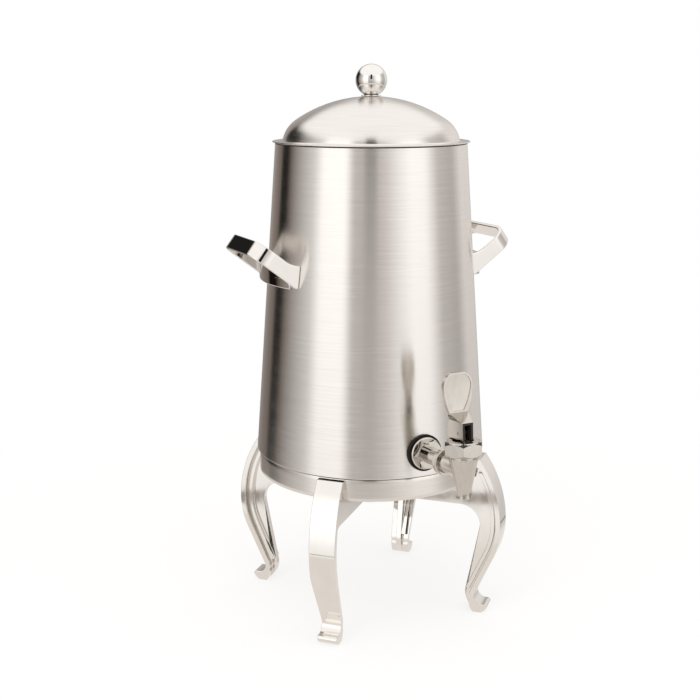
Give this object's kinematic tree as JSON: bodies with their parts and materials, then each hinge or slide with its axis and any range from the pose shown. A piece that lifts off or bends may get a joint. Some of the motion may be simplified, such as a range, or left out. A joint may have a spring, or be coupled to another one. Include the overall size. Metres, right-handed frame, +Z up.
{
  "type": "coffee urn",
  "caption": "Insulated tapered coffee urn on curved cast legs, with a domed lift-off lid, loop handles and a front lever tap.",
  "frame": {"origin": "floor level under the urn's axis, in the plane the feet stand on", "axes": "+Z up, -Y towards the tap, +X and -X through the two handles"},
  "size_m": [0.3686, 0.4101, 0.7093],
  "materials": {
    "brushed_shell": "fine circumferential brush",
    "spun_steel": "plain spun stainless, satin",
    "polished_casting": "polished nickel plate on cast metal",
    "chrome_ball": "mirror chrome",
    "tap_nickel": "satin polished nickel on brass",
    "steel_fastener": "bright steel",
    "black_rubber": "matt black",
    "white_silicone": "matt",
    "foam": "rigid foam"
  },
  "bodies": {
    "urn": {"outer_shell": "brushed_shell", "inner_vessel": "spun_steel", "mouth_ring": "spun_steel", "shell_floor": "spun_steel", "getter_cap": "spun_steel", "base_band": "brushed_shell", "base_plate": "spun_steel", "leg_front_right": "polished_casting", "leg_rear_right": "polished_casting", "leg_rear_left": "polished_casting", "leg_front_left": "polished_casting", "leg_screws": "steel_fastener", "clamp_disc": "spun_steel", "clamp_stud": "steel_fastener", "clamp_nut": "steel_fastener", "handle_right": "polished_casting", "handle_left": "polished_casting", "handle_studs": "steel_fastener", "handle_grub_screws": "steel_fastener", "port_tube": "spun_steel", "tap_gasket": "black_rubber", "tap_rose": "tap_nickel", "tap_nut": "tap_nickel", "tap_shank": "tap_nickel", "shank_washer": "steel_fastener", "shank_lock_nut": "steel_fastener", "coupling_nut": "tap_nickel", "tap_body": "tap_nickel", "bonnet": "tap_nickel", "tap_spring": "steel_fastener"},
    "lid": {"lid_dome": "brushed_shell", "lid_liner": "spun_steel", "lid_insulation": "foam", "lid_gasket": "white_silicone", "knob_ball": "chrome_ball", "knob_collar": "chrome_ball", "knob_screw": "steel_fastener", "knob_washer": "steel_fastener"},
    "stem": {"valve_stem": "steel_fastener", "seat_cup": "white_silicone", "lever_pin": "steel_fastener"},
    "lever": {"lever": "tap_nickel"}
  },
  "joints": [
    {"name": "lid_lift", "type": "slide", "parent": "urn", "child": "lid", "axis": [0, 0, 1], "range_m": [0, 0.15]},
    {"name": "stem_lift", "type": "slide", "parent": "urn", "child": "stem", "axis": [0, 0.0725, 0.9974], "range_m": [0, 0.0045], "deforming": ["tap_spring"]},
    {"name": "lever_tilt", "type": "hinge", "parent": "stem", "child": "lever", "pos_m": [0, -0.23741, 0.29613], "axis": [1, 0, 0], "range_deg": [0, 25], "stiffness_Nm_per_rad": 0.6, "springref_deg": -5.73}
  ],
  "couplings": [
    {"joint": "stem_lift", "follows": "lever_tilt", "m_per_rad": 0.01}
  ]
}
